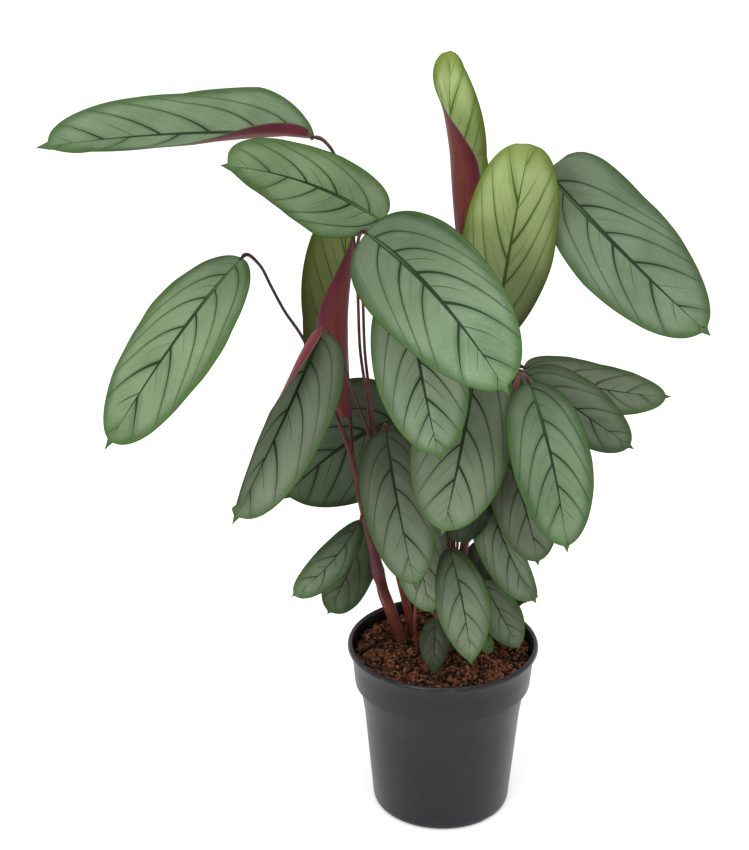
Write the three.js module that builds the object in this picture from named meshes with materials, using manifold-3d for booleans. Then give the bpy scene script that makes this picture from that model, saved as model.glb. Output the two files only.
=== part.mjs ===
// Potted silverstar calathea: a plastic nursery pot filled with coir soil, and the leafy
// shoots that grow from it. Each blade is a thin bent sheet with its own fold and waves, and
// each shoot is one branching body of canes and leaf stalks.
// Millimetres and degrees, +Z up, +Y away from the front, origin at the centre of the pot's base.
import * as THREE from 'three';
import { mergeVertices } from 'three/addons/utils/BufferGeometryUtils.js';
import Module from 'manifold-3d';

// Pot
const POT_HEIGHT = 160;
const BASE_RADIUS = 62;
const BASE_CORNER = 7;
const WALL_TOP = { radius: 71.2, z: 101 };
const COLLAR_STEP = { radius: 74.3, z: 119.8 };
const COLLAR_BOTTOM = { radius: 78.4, z: 121.6 };
const COLLAR_TOP = { radius: 81.4, z: 154.4 };
const RIM_RADIUS = 85;
// Section of the rounded lip, from the rim's outer radius and the pot's height
const RIM_SECTION = [[-0.7, -5.1], [0, -3.8], [-0.8, -0.8], [-2, 0], [-3.6, -0.7]];
const POT_WALL = 1.3;
const POT_FLOOR = 3;
const POT_SEGMENTS = 40;
const DRAIN_NOTCH = { width: 11, height: 4, depth: 8, count: 3, firstAngle: -47 };

// Soil
const SOIL_TOP = 149;
const SOIL_RADIUS = 79.2;
const SOIL_RINGS = 9;
const LUMP_HEIGHT = 1.6;
const HOLE_MOUTH = 8;

// Clearance left wherever two solids would touch
const GAP = 0.3;
const LEAF_GAP = 0.75;
const HOLE_CLEARANCE = 1.5;

// Blades
const MIDRIB_THICKNESS = 1.9;
const MARGIN_THICKNESS = 0.8;
const THINNING = 0.6;
const STALK_END_RADIUS = 1.4;
const TIP_HALF_WIDTH = 0.5;
const LEAF_STATIONS = [0, 0.03, 0.1, 0.22, 0.37, 0.53, 0.69, 0.82, 0.92, 0.97, 1];
const SMALL_LEAF_STATIONS = [0, 0.05, 0.17, 0.36, 0.58, 0.78, 0.92, 0.97, 1];
const LEAF_LINES = [-1, -0.7, -0.36, 0, 0.36, 0.7, 1];
const ROLLED_LEAF_LINES = [-1, -0.83, -0.62, -0.4, -0.2, 0, 0.2, 0.4, 0.62, 0.83, 1];
const SMALL_LEAF_LINES = [-1, -0.55, 0, 0.55, 1];
const SMALL_LEAF_WIDTH = 45;
const FLAT_END_SHARE = 0.18;
const SLOPE_STEP = { t: 0.004, u: 0.05 };
const WAVE = { count: 2.3, offset: 1.7 };
// Shape of a plain blade, as far as its own entry doesn't say otherwise
const PLAIN = {
  belly: 0.47, roundness: [2.2, 2], body: 0.965, point: 0.075,
  fold: [8, 8, 4], curl: [-14, -18, -20], wave: 1.2,
};

// Stalks
const STALK_SIDES = 6;
const STALK_STEP = 30;
const STALK_BEND = 45;
const HINGE = { length: 3, radius: 1.6 };
const ARCH = { back: 2.6, down: 2 };

const SILVER_GREEN = 0x86a58c;
const YOUNG_GREEN = 0xa3b578;
const STALK_RED = 0x5f2f30;
const POT_BLACK = 0x35343a;
const SOIL_BROWN = 0x4a3022;

const wasm = await Module();
wasm.setup();
const plant = new THREE.Group();
const radians = THREE.MathUtils.degToRad;

// Direction from an azimuth, counted from the front towards +X, and an elevation
function direction([azimuth, elevation]) {
  const a = radians(azimuth);
  const e = radians(elevation);
  return new THREE.Vector3(Math.sin(a) * Math.cos(e), -Math.cos(a) * Math.cos(e), Math.sin(e));
}

// Value at t of a quantity given at the start, the middle and the end
function along([first, middle, last], t) {
  return t < 0.5
    ? THREE.MathUtils.lerp(first, middle, t * 2)
    : THREE.MathUtils.lerp(middle, last, t * 2 - 1);
}

function addPiece(name, geometry, color, roughness) {
  const material = new THREE.MeshStandardMaterial({ color, roughness, metalness: 0 });
  const mesh = new THREE.Mesh(geometry, material);
  mesh.name = name;
  plant.add(mesh);
  return mesh;
}

function toSolid(geometry) {
  const bare = geometry.clone();
  bare.deleteAttribute('normal');
  bare.deleteAttribute('uv');
  const merged = mergeVertices(bare, 1e-3);
  return new wasm.Manifold(new wasm.Mesh({
    numProp: 3,
    vertProperties: merged.attributes.position.array,
    triVerts: new Uint32Array(merged.index.array),
  }));
}

function toGeometry(solid) {
  const mesh = solid.getMesh();
  const geometry = new THREE.BufferGeometry();
  geometry.setAttribute('position', new THREE.BufferAttribute(mesh.vertProperties, 3));
  geometry.setIndex(new THREE.BufferAttribute(mesh.triVerts, 1));
  geometry.computeVertexNormals();
  return geometry;
}

// Half-width of a blade as a share of its widest: a round oblong body and a short drawn-out point
function outline(t, { belly, roundness, body, point }) {
  const fromBelly = t < belly ? 1 - t / belly : Math.min((t - belly) / (body - belly), 1);
  const power = roundness[t < belly ? 0 : 1];
  const drawnOut = t > body ? point * (1 - t) / (1 - body) : point;
  return Math.max((1 - fromBelly ** power) ** (1 / power), t < 0.5 ? 0 : drawnOut);
}

// The midrib runs from the base through the middle point to the tip
function midribOf({ base, mid, tip }) {
  const [b, m, t] = [base, mid, tip].map(p => new THREE.Vector3(...p));
  const control = m.clone().multiplyScalar(2).addScaledVector(b, -0.5).addScaledVector(t, -0.5);
  return new THREE.QuadraticBezierCurve3(b, control, t);
}

// Point of the blade's middle surface. Each side leaves the midrib at its fold angle and
// turns by its curl angle on the way to the margin, both positive towards the upper face.
function bladePoint(leaf, midrib, t, u) {
  const tangent = midrib.getTangent(t);
  const [azimuth, elevation] = leaf.face;
  const up = direction([azimuth + along(leaf.turn ?? [0, 0, 0], t), elevation]);
  up.addScaledVector(tangent, -up.dot(tangent)).normalize();
  const side = new THREE.Vector3().crossVectors(tangent, up);
  const shape = { ...PLAIN, ...leaf, ...(u < 0 ? leaf.left : leaf.right) };
  const narrowest = t < 0.5 ? STALK_END_RADIUS : TIP_HALF_WIDTH;
  const half = Math.max(shape.width / 2 * outline(t, shape), narrowest);
  const open = Math.min(1, half / (FLAT_END_SHARE * shape.width));
  const fold = open * radians(along(shape.fold, t));
  const curl = open * radians(along(shape.curl, t));
  const reach = Math.abs(u);
  const turn = Math.abs(curl) < 1e-3 ? 1e-3 : curl;
  const out = half / turn * (Math.sin(fold + turn * reach) - Math.sin(fold));
  const lift = half / turn * (Math.cos(fold) - Math.cos(fold + turn * reach));
  const phase = 2 * Math.PI * WAVE.count * t + leaf.width + (u < 0 ? WAVE.offset : 0);
  const ripple = shape.wave * reach ** 2 * Math.sin(Math.PI * t) * Math.sin(phase);
  return midrib.getPoint(t)
    .addScaledVector(side, Math.sign(u) * out)
    .addScaledVector(up, lift + ripple);
}

// Closed thin sheet: the two faces are split into triangles alike and joined round the margin
function bladeGeometry(leaf) {
  const small = leaf.width < SMALL_LEAF_WIDTH;
  const stations = small ? SMALL_LEAF_STATIONS : LEAF_STATIONS;
  const lines = leaf.turn ? ROLLED_LEAF_LINES : small ? SMALL_LEAF_LINES : LEAF_LINES;
  const midrib = midribOf(leaf);
  const rows = stations.length;
  const columns = lines.length;
  const upper = [];
  const lower = [];
  for (const t of stations) {
    for (const u of lines) {
      const here = bladePoint(leaf, midrib, t, u);
      const [t0, t1] = [Math.max(t - SLOPE_STEP.t, 0), Math.min(t + SLOPE_STEP.t, 1)];
      const [u0, u1] = [Math.max(u - SLOPE_STEP.u, -1), Math.min(u + SLOPE_STEP.u, 1)];
      const lengthwise = bladePoint(leaf, midrib, t1, u).sub(bladePoint(leaf, midrib, t0, u));
      const across = bladePoint(leaf, midrib, t, u1).sub(bladePoint(leaf, midrib, t, u0));
      const normal = lengthwise.cross(across).normalize().negate();
      const thinned = Math.abs(u) ** THINNING;
      const thickness = THREE.MathUtils.lerp(MIDRIB_THICKNESS, MARGIN_THICKNESS, thinned);
      upper.push(here.clone().addScaledVector(normal, thickness / 2));
      lower.push(here.clone().addScaledVector(normal, -thickness / 2));
    }
  }
  const count = rows * columns;
  const index = [];
  for (let i = 0; i < rows - 1; i++) {
    for (let j = 0; j < columns - 1; j++) {
      const a = i * columns + j;
      const [b, c, d] = [a + 1, a + columns, a + columns + 1];
      const cells = lines[j] < 0 ? [[a, b, d], [a, d, c]] : [[a, b, c], [b, d, c]];
      for (const [p, q, r] of cells) index.push(p, q, r, count + p, count + r, count + q);
    }
  }
  const rim = [];
  for (let j = 0; j < columns; j++) rim.push(j);
  for (let i = 1; i < rows; i++) rim.push(i * columns + columns - 1);
  for (let j = columns - 2; j >= 0; j--) rim.push((rows - 1) * columns + j);
  for (let i = rows - 2; i > 0; i--) rim.push(i * columns);
  rim.forEach((a, k) => {
    const b = rim[(k + 1) % rim.length];
    index.push(a, count + a, b, b, count + a, count + b);
  });
  const geometry = new THREE.BufferGeometry().setFromPoints([...upper, ...lower]);
  geometry.setIndex(index);
  geometry.computeVertexNormals();
  return geometry;
}

// Tapering round stalk through points that each give x, y, z and the radius there
function stalkGeometry(points, extra = 0) {
  const curve = new THREE.CatmullRomCurve3(points.map(([x, y, z]) => new THREE.Vector3(x, y, z)),
    false, 'centripetal');
  const spans = points.length - 1;
  const stations = [0];
  for (let k = 0; k < spans; k++) {
    const [from, to] = [k / spans, (k + 1) / spans];
    const length = curve.getPoint(from).distanceTo(curve.getPoint(to));
    const bend = curve.getTangent(from).angleTo(curve.getTangent(to));
    const bends = Math.ceil(bend / radians(STALK_BEND));
    const pieces = Math.max(1, Math.round(length / STALK_STEP), bends);
    for (let i = 1; i <= pieces; i++) stations.push((k + i / pieces) / spans);
  }
  const steps = stations.length - 1;
  const vertices = [];
  const index = [];
  const tangent = curve.getTangent(0);
  const normal = new THREE.Vector3(0, 1, 0).cross(tangent).normalize();
  for (const t of stations) {
    const ahead = curve.getTangent(t);
    normal.applyQuaternion(new THREE.Quaternion().setFromUnitVectors(tangent, ahead));
    tangent.copy(ahead);
    const binormal = new THREE.Vector3().crossVectors(tangent, normal);
    const k = Math.min(Math.floor(t * spans + 1e-6), spans - 1);
    const radius = THREE.MathUtils.lerp(points[k][3], points[k + 1][3], t * spans - k) + extra;
    for (let j = 0; j < STALK_SIDES; j++) {
      const a = 2 * Math.PI * j / STALK_SIDES;
      vertices.push(curve.getPoint(t)
        .addScaledVector(normal, radius * Math.cos(a))
        .addScaledVector(binormal, radius * Math.sin(a)));
    }
  }
  for (let i = 0; i < steps; i++) {
    for (let j = 0; j < STALK_SIDES; j++) {
      const a = i * STALK_SIDES + j;
      const b = i * STALK_SIDES + (j + 1) % STALK_SIDES;
      index.push(a, b, a + STALK_SIDES, b, b + STALK_SIDES, a + STALK_SIDES);
    }
  }
  const last = steps * STALK_SIDES;
  for (let j = 1; j < STALK_SIDES - 1; j++) {
    index.push(0, j + 1, j, last, last + j, last + j + 1);
  }
  const geometry = new THREE.BufferGeometry().setFromPoints(vertices);
  geometry.setIndex(index);
  return geometry;
}

// Blades: base, middle and tip of the midrib, full width, and the way the upper face looks
const LEAVES = {
  leaf_top_left: {
    base: [-110, 20, 613], mid: [-210, 8, 619], tip: [-328, -25, 616], width: 84, face: [-5, 28],
    right: { width: 96, belly: 0.23, roundness: [1.4, 2.2], fold: [-15, -22, 0],
      curl: [-10, -14, -20] },
    left: { belly: 0.35, roundness: [1.8, 1.35], fold: [60, 34, 32], curl: [85, 46, 0] },
  },
  leaf_upper_left: {
    base: [-54, -4, 548], mid: [-112, -28, 587], tip: [-180, -60, 611], width: 65, face: [-10, 34],
    right: { width: 62, belly: 0.5, roundness: [3.1, 2.8] },
    left: { width: 76, belly: 0.32, roundness: [1.6, 1.35], fold: [0, -8, -10],
      curl: [-30, -55, -40] },
  },
  young_leaf_left: {
    base: [-82, 22, 366], mid: [-85, 36, 449], tip: [-85, 50, 562], width: 87,
    face: [-15, 10], turn: [-70, -40, 10], wave: 0,
    right: { fold: [10, 10, 10], curl: [190, 180, 60] },
    left: { fold: [10, 0, 0], curl: [130, 60, 30] },
  },
  leaf_far_left: {
    base: [-170, 0, 517], mid: [-222, -45, 462], tip: [-281, -70, 376], width: 84, face: [-30, 30],
    belly: 0.5, roundness: [2.05, 2.1], right: { width: 80 }, left: { roundness: [1.8, 2.1] },
  },
  leaf_front_large: {
    base: [-68, -26, 546], mid: [-13, -100, 518], tip: [42, -150, 455], width: 95, face: [0, 24],
    belly: 0.42, roundness: [2.3, 1.9], left: { roundness: [2.3, 2.2] },
  },
  leaf_left_folded: {
    base: [-105, -25, 462], mid: [-134, -62, 402], tip: [-178, -80, 313], width: 74, face: [-10, 22],
    right: { width: 70, roundness: [2.6, 1.7], fold: [10, 60, 66], curl: [200, 40, 30] },
    left: { roundness: [2.2, 2.3] },
  },
  leaf_left_shaded: {
    base: [-34, 50, 353], mid: [-86, 50, 329], tip: [-142, 25, 287], width: 106, face: [0, 25],
  },
  leaf_front_middle: {
    base: [-36, -25, 508], mid: [-24, -82, 448], tip: [-9, -112, 384], width: 75, face: [0, 24],
    right: { roundness: [2.2, 1.75] },
  },
  leaf_front_lower: {
    base: [24, -12, 446], mid: [11, -58, 376], tip: [-6, -88, 306], width: 84, face: [5, 24],
  },
  young_leaf_pale: {
    base: [39, 8, 436], mid: [50, 12, 515], tip: [65, 18, 608], width: 82, face: [-5, 15],
    belly: 0.52, roundness: [1.9, 2.4], body: 1, point: 0, fold: [14, 12, 8],
    right: { width: 74, roundness: [1.5, 2.4] },
  },
  leaf_top_right: {
    base: [81, 50, 576], mid: [148, 12, 514], tip: [214, -30, 460], width: 86, face: [10, 28],
    left: { width: 97, belly: 0.42, roundness: [3.8, 1.8] },
    right: { roundness: [1.8, 2] },
  },
  young_leaf_top: {
    base: [14, 60, 485], mid: [4, 75, 579], tip: [2, 80, 671], width: 76,
    face: [15, 5], turn: [65, 45, 0], wave: 0, belly: 0.35, body: 1, point: 0,
    left: { width: 74, roundness: [2.2, 2.2], fold: [10, 10, 10], curl: [190, 140, 0] },
    right: { roundness: [2.2, 1.7], fold: [10, 0, 0], curl: [130, 70, 90] },
  },
  leaf_right_lower: {
    base: [66, 8, 412], mid: [107, -18, 391], tip: [155, -40, 363], width: 54, face: [10, 30],
  },
  leaf_right_upper: {
    base: [66, 20, 413], mid: [129, 26, 392], tip: [194, 25, 384], width: 46, face: [10, 40],
  },
  leaf_right_front: {
    base: [67, -30, 418], mid: [83, -82, 371], tip: [96, -106, 300], width: 66, face: [5, 24],
  },
  leaf_right_behind: {
    base: [47, -6, 352], mid: [65, -42, 313], tip: [77, -60, 265], width: 54, face: [5, 24],
  },
  leaf_right_low: {
    base: [34, -6, 318], mid: [52, -30, 268], tip: [78, -45, 221], width: 50, face: [5, 24],
    left: { fold: [50, 76, 78] },
  },
  leaf_centre_left: {
    base: [-51, -15, 370], mid: [-42, -56, 323], tip: [-26, -72, 248], width: 60, face: [0, 24],
    roundness: [2.1, 2.1],
  },
  leaf_centre_low: {
    base: [-10, -6, 298], mid: [-20, -26, 256], tip: [-10, -40, 207], width: 48, face: [0, 24],
  },
  leaf_low_front: {
    base: [3, -35, 269], mid: [14, -75, 233], tip: [21, -88, 185], width: 46, face: [0, 24],
    belly: 0.52, roundness: [1.9, 1.5],
  },
  leaf_low_dark: {
    base: [-7, -30, 200], mid: [-9, -45, 180], tip: [-9, -57, 158], width: 27, face: [0, 24],
    roundness: [1.8, 1.5],
  },
  leaf_low_right: {
    base: [34, -4, 222], mid: [52, -20, 192], tip: [66, -30, 168], width: 36, face: [0, 24],
    roundness: [2, 1.6],
  },
  leaf_low_shaded: {
    base: [30, 18, 250], mid: [46, 14, 215], tip: [74, 5, 195], width: 40, face: [0, 24],
  },
  leaf_low_tiny: {
    base: [28, -10, 190], mid: [34, -24, 176], tip: [42, -37, 168], width: 16, face: [0, 24],
  },
  leaf_centre_shaded: {
    base: [30, -22, 324], mid: [16, -32, 298], tip: [0, -38, 281], width: 40, face: [0, 24],
  },
  leaf_left_low: {
    base: [-73, -5, 281], mid: [-99, -35, 254], tip: [-132, -50, 230], width: 31, face: [-10, 24],
    roundness: [1.7, 2.1],
  },
  leaf_left_lowest: {
    base: [-68, 34, 257], mid: [-84, 24, 217], tip: [-103, 12, 180], width: 42, face: [-10, 24],
    left: { width: 46, roundness: [2.2, 2.4] },
  },
  leaf_back_top: {
    base: [-14, 55, 490], mid: [-20, 108, 480], tip: [-15, 150, 420], width: 80, face: [175, 45],
  },
  leaf_back_right: {
    base: [24, 45, 392], mid: [44, 95, 380], tip: [56, 135, 320], width: 74, face: [160, 45],
  },
  leaf_back_left: {
    base: [-38, 74, 368], mid: [-58, 118, 350], tip: [-72, 150, 292], width: 68, face: [200, 45],
  },
  leaf_back_middle: {
    base: [0, 40, 330], mid: [10, 90, 320], tip: [15, 125, 260], width: 62, face: [175, 45],
  },
  leaf_back_low_left: {
    base: [-30, 45, 265], mid: [-50, 75, 260], tip: [-65, 95, 215], width: 46, face: [205, 45],
  },
  leaf_back_low_right: {
    base: [30, 35, 250], mid: [50, 65, 240], tip: [62, 85, 200], width: 44, face: [150, 45],
  },
};

for (const [name, leaf] of Object.entries(LEAVES)) {
  const color = name.startsWith('young') ? YOUNG_GREEN : SILVER_GREEN;
  addPiece(name, bladeGeometry(leaf), color, 0.5);
}

// Shoots: each stalk runs through points that give x, y, z and its radius, up to its blade
const SHOOTS = {
  shoot_left: [
    { to: 'leaf_far_left', points: [[-30, 20, 120, 5.5], [-36, 17, 150, 5.5], [-53, 15, 203, 4.6],
      [-58, 14, 222, 6.2], [-63, 12, 249, 4], [-73, 10, 293, 3], [-80, 8, 332, 2.6],
      [-94, 5, 376, 1.8], [-121, 2, 446, 1.4], [-136, 2.5, 470, 1.3],
      [-147, 3, 492, 1.3], [-155, 2.5, 509, 1.3]] },
    { points: [[-37, 24, 120, 1.8], [-44, 20, 160, 1.8], [-57, 17, 200, 1.6], [-60, 15, 226, 1.4]] },
    { to: 'leaf_left_low', points: [[-67, 12, 268, 1.4], [-67, 10, 280, 1.3]] },
    { to: 'leaf_left_lowest', points: [[-63, 12, 250, 1.4], [-62, 27, 263, 1.3]] },
    { to: 'young_leaf_left', points: [[-79, 9, 318, 1.4], [-80, 14, 338, 1.3]] },
  ],
  shoot_middle: [
    { to: 'leaf_top_left', points: [[-19, 28, 120, 4], [-25, 26, 150, 4], [-34, 21, 192, 3.6],
      [-44, 16, 240, 3.4], [-53, 10, 300, 3], [-60, 6, 343, 2.6], [-68, 4, 397, 1.4],
      [-73, 5, 434, 1.3], [-75, 7, 485, 1.3], [-78, 10, 529, 1.3], [-93, 14.5, 599, 1.3]] },
    { to: 'leaf_front_large', points: [[-59, 6, 338, 1.8], [-65, -2, 397, 1.4], [-69, -1, 434, 1.3],
      [-71, 2, 485, 1.3], [-75, -7, 529, 1.3]] },
    { to: 'leaf_left_folded', points: [[-59, 6, 335, 1.8], [-69, -1, 370, 1.4],
      [-80, -9, 405, 1.3], [-93, -15, 445, 1.3]] },
    { to: 'leaf_left_shaded', points: [[-50, 12, 280, 1.8], [-38, 26, 315, 1.4], [-20, 42, 348, 1.3]] },
    { to: 'leaf_centre_left', points: [[-57, 7, 330, 1.8], [-55, 4, 362, 1.4]] },
  ],
  shoot_centre: [
    { to: 'leaf_front_middle', points: [[2, 12, 120, 4.6], [2, 12, 150, 4.6], [4, 6, 200, 4.4],
      [6, 1, 255, 4], [2, 8, 310, 3.2], [-2, 16, 370, 2.6], [-10, 20, 430, 1.8],
      [-24, 12, 492, 1.4], [-33, 2, 517, 1.3]] },
    { to: 'leaf_upper_left', points: [[-3, 17, 378, 1.6], [-14, 26, 450, 1.4], [-26, 18, 525, 1.3]] },
    { to: 'young_leaf_top', points: [[4, 5, 285, 2.8], [10, 30, 360, 2], [16, 50, 430, 1.6]] },
    { to: 'leaf_front_lower', points: [[5, 4, 280, 2.6], [14, 12, 350, 1.8], [23, 5, 420, 1.4],
      [24.5, -1.5, 445, 1.3]] },
    { to: 'leaf_low_front', points: [[6, 2, 236, 1.6], [11, -8, 256, 1.3], [8, -20, 276, 1.3]] },
    { to: 'leaf_back_top', points: [[11, 34, 372, 1.6], [0, 44, 430, 1.4], [-12, 44, 480, 1.3]] },
    { to: 'leaf_back_left', points: [[1, 10, 325, 1.6], [-4, 38, 350, 1.4], [-18, 62, 378, 1.3]] },
    { to: 'leaf_back_middle', points: [[4, 4, 275, 1.8], [0, 20, 305, 1.4]] },
    { to: 'leaf_back_low_left', points: [[4, 6, 205, 1.8], [-14, 28, 245, 1.4]] },
  ],
  shoot_right: [
    { to: 'leaf_right_front', points: [[16, 10, 120, 4.4], [16, 10, 150, 4.4], [17, 4, 200, 4.2],
      [17, 0, 250, 4], [30, 6, 310, 3], [44, 10, 360, 2.6], [52, 8, 391, 2], [59, 4, 412, 1.5]] },
    { to: 'leaf_right_lower', points: [[48, 9, 375, 1.6], [53, 16, 405, 1.3]] },
    { to: 'leaf_right_upper', points: [[46, 10, 366, 1.6], [52, 20, 400, 1.3]] },
    { to: 'leaf_top_right', points: [[38, 8, 340, 2], [56, 40, 420, 1.8], [66, 58, 500, 1.6],
      [72, 62, 557, 1.4], [76, 60, 574, 1.3]] },
    { to: 'young_leaf_pale', points: [[28, 6, 302, 2], [36, 10, 370, 1.6]] },
    { to: 'leaf_right_behind', points: [[38, 8, 338, 1.6], [41, 7, 352, 1.3]] },
    { to: 'leaf_right_low', points: [[27, 5, 296, 1.6], [29, 3, 318, 1.3]] },
    { to: 'leaf_centre_shaded', points: [[18, 1, 262, 1.6], [12, -4, 300, 1.3], [16, -10, 322, 1.3],
      [25, -14, 334, 1.3]] },
    { to: 'leaf_low_shaded', points: [[17, 2, 232, 1.6], [22, 14, 254, 1.3]] },
    { to: 'leaf_back_right', points: [[34, 7, 322, 1.6], [28, 26, 365, 1.4]] },
    { to: 'leaf_back_low_right', points: [[16, 9, 168, 1.8], [17, 24, 205, 1.4],
      [20, 30, 238, 1.3]] },
  ],
  stalk_centre_low: [
    { to: 'leaf_centre_low', points: [[-22, -4, 120, 2], [-23, -7, 150, 2], [-25, -8, 187, 1.6],
      [-21, -3, 240, 1.4], [-10, 3, 280, 1.3], [-6.3, 4.2, 296, 1.3], [-6, 1.4, 304, 1.3]] },
  ],
  stalk_low_right: [
    { to: 'leaf_low_right', points: [[34, -2, 120, 1.8], [34, -2, 150, 1.8], [32, 1, 192, 1.4],
      [32.5, 3, 216, 1.3]] },
    { to: 'leaf_low_tiny', points: [[35, -2, 160, 1.4], [29.5, -2.5, 188, 1.3]] },
  ],
  stalk_low_dark: [
    { to: 'leaf_low_dark', points: [[-10, -20, 120, 1.6], [-10, -20, 150, 1.6], [-8, -20.2, 199, 1.3],
      [-7.1, -24, 204.4, 1.3]] },
  ],
};

// A stalk bends over in a small arch and ends in the hinge that carries its blade
function stalkPoints({ points, to }) {
  if (!to) return points;
  const midrib = midribOf(LEAVES[to]);
  const back = midrib.getTangent(0).negate();
  const end = midrib.getPoint(0).addScaledVector(back, LEAF_GAP);
  const hinge = midrib.getPoint(0).addScaledVector(back, HINGE.length);
  const arrival = hinge.clone().sub(new THREE.Vector3(...points.at(-1))).normalize();
  const arch = hinge.clone().addScaledVector(back, ARCH.back).addScaledVector(arrival, -ARCH.down);
  return [...points, [...arch.toArray(), HINGE.radius], [...hinge.toArray(), HINGE.radius],
    [...end.toArray(), STALK_END_RADIUS]];
}

const buried = [];
for (const [name, stalks] of Object.entries(SHOOTS)) {
  let shoot = null;
  for (const stalk of stalks) {
    const points = stalkPoints(stalk);
    const solid = toSolid(stalkGeometry(points));
    shoot = shoot ? shoot.add(solid) : solid;
    if (points[0][2] < SOIL_TOP) buried.push(points);
  }
  addPiece(name, toGeometry(shoot), STALK_RED, 0.45);
}

// Pot: thin wall under a wider collar and a rounded lip, with drain notches in its bottom edge
function potGeometry() {
  const t = POT_WALL;
  const profile = [
    [0, 0], [BASE_RADIUS - BASE_CORNER, 0], [BASE_RADIUS - 2, 2], [BASE_RADIUS, BASE_CORNER],
    [WALL_TOP.radius, WALL_TOP.z], [COLLAR_STEP.radius, COLLAR_STEP.z],
    [COLLAR_BOTTOM.radius, COLLAR_BOTTOM.z], [COLLAR_TOP.radius, COLLAR_TOP.z],
    ...RIM_SECTION.map(([r, z]) => [RIM_RADIUS + r, POT_HEIGHT + z]),
    [COLLAR_TOP.radius - t, COLLAR_TOP.z],
    [COLLAR_BOTTOM.radius - t, COLLAR_BOTTOM.z + t], [COLLAR_STEP.radius - t, COLLAR_STEP.z + t],
    [WALL_TOP.radius - t, WALL_TOP.z], [BASE_RADIUS - t, BASE_CORNER],
    [BASE_RADIUS - BASE_CORNER, POT_FLOOR], [0, POT_FLOOR],
  ].map(([r, z]) => new THREE.Vector2(r, z));
  let pot = toSolid(new THREE.LatheGeometry(profile, POT_SEGMENTS).rotateX(Math.PI / 2));
  const { width, height, depth, count, firstAngle } = DRAIN_NOTCH;
  for (let i = 0; i < count; i++) {
    const notch = new THREE.BoxGeometry(depth, width, 2 * height)
      .translate(BASE_RADIUS, 0, 0)
      .rotateZ(radians(firstAngle + 360 * i / count));
    pot = pot.subtract(toSolid(notch));
  }
  return toGeometry(pot);
}
addPiece('pot', potGeometry(), POT_BLACK, 0.55);

// Soil: fills the pot to its own level, with a lumpy top and a plain hole for each stalk
function soilGeometry() {
  const clear = POT_WALL + GAP;
  const side = [
    [0, POT_FLOOR + GAP], [BASE_RADIUS - BASE_CORNER - GAP, POT_FLOOR + GAP],
    [BASE_RADIUS - clear, BASE_CORNER + 1], [WALL_TOP.radius - clear, WALL_TOP.z],
    [COLLAR_STEP.radius - clear, COLLAR_STEP.z + clear],
    [COLLAR_BOTTOM.radius - clear, COLLAR_BOTTOM.z + clear], [SOIL_RADIUS, SOIL_TOP],
  ];
  for (let i = 1; i <= SOIL_RINGS; i++) side.push([SOIL_RADIUS * (1 - i / SOIL_RINGS), SOIL_TOP]);
  const profile = side.map(([r, z]) => new THREE.Vector2(r, z));
  const geometry = new THREE.LatheGeometry(profile, POT_SEGMENTS).rotateX(Math.PI / 2);
  const place = geometry.attributes.position;
  for (let i = 0; i < place.count; i++) {
    const [x, y, z] = [place.getX(i), place.getY(i), place.getZ(i)];
    if (z < SOIL_TOP - 0.01 || Math.hypot(x, y) > SOIL_RADIUS - 1) continue;
    const lumps = Math.sin(0.21 * x + 1.3) * Math.cos(0.17 * y + 0.4)
      + 0.7 * Math.sin(0.37 * x - 0.29 * y + 2) + 0.5 * Math.sin(0.55 * x + 0.61 * y);
    place.setZ(i, z + LUMP_HEIGHT * lumps);
  }
  let soil = toSolid(geometry);
  for (const [[x0, y0, z0, radius], [x1, y1, z1]] of buried) {
    const out = (SOIL_TOP + HOLE_MOUTH - z0) / (z1 - z0);
    const mouth = [x0 + (x1 - x0) * out, y0 + (y1 - y0) * out, SOIL_TOP + HOLE_MOUTH];
    const hole = [[x0, y0, z0 - GAP, radius], [...mouth, radius]];
    soil = soil.subtract(toSolid(stalkGeometry(hole, HOLE_CLEARANCE)));
  }
  return toGeometry(soil);
}
addPiece('soil', soilGeometry(), SOIL_BROWN, 0.95);

export default plant;
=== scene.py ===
# %% [markdown]
# # Potted silverstar calathea
# A bushy foliage plant, about 67 cm tall, in a 17 cm nursery pot. Its oblong leaves are
# silver-green above with dark veins and burgundy below, and they stand on long thin stalks that
# grow from a few canes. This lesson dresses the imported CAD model: each plain blade, stalk, pot
# and soil body is replaced by a finer one of the same form, and then given its finish.

# %% Load the fixed frame
import random
from math import cos, dist, exp, hypot, pi, radians, sin

import bpy
import numpy as np
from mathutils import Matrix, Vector, noise


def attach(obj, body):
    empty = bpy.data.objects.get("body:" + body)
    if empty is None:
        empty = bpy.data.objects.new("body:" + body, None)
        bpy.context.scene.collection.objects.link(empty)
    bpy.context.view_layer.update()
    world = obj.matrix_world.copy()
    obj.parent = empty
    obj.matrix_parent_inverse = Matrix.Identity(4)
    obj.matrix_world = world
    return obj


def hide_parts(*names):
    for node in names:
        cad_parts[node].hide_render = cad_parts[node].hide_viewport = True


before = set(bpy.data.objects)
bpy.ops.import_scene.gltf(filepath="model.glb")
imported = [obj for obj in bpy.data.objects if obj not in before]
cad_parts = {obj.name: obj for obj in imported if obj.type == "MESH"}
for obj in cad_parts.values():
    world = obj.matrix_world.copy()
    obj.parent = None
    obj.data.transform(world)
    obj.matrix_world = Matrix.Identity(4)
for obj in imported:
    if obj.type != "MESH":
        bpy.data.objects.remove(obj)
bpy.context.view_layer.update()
MM = 0.001
norm = np.linalg.norm

# %% [markdown]
# ## Node trees as Python
# Finishes and scatters are node trees. Clicking them together is easy in the editor but hard to
# read in a script, so one small class wraps a socket and lets Python's operators add the Math
# nodes, and one method adds any other node from its type, its inputs and its settings.

# %% A socket that can be used in sums
def of_two(operation):
    return lambda first, second: first.maths(operation, first, second)


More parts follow.
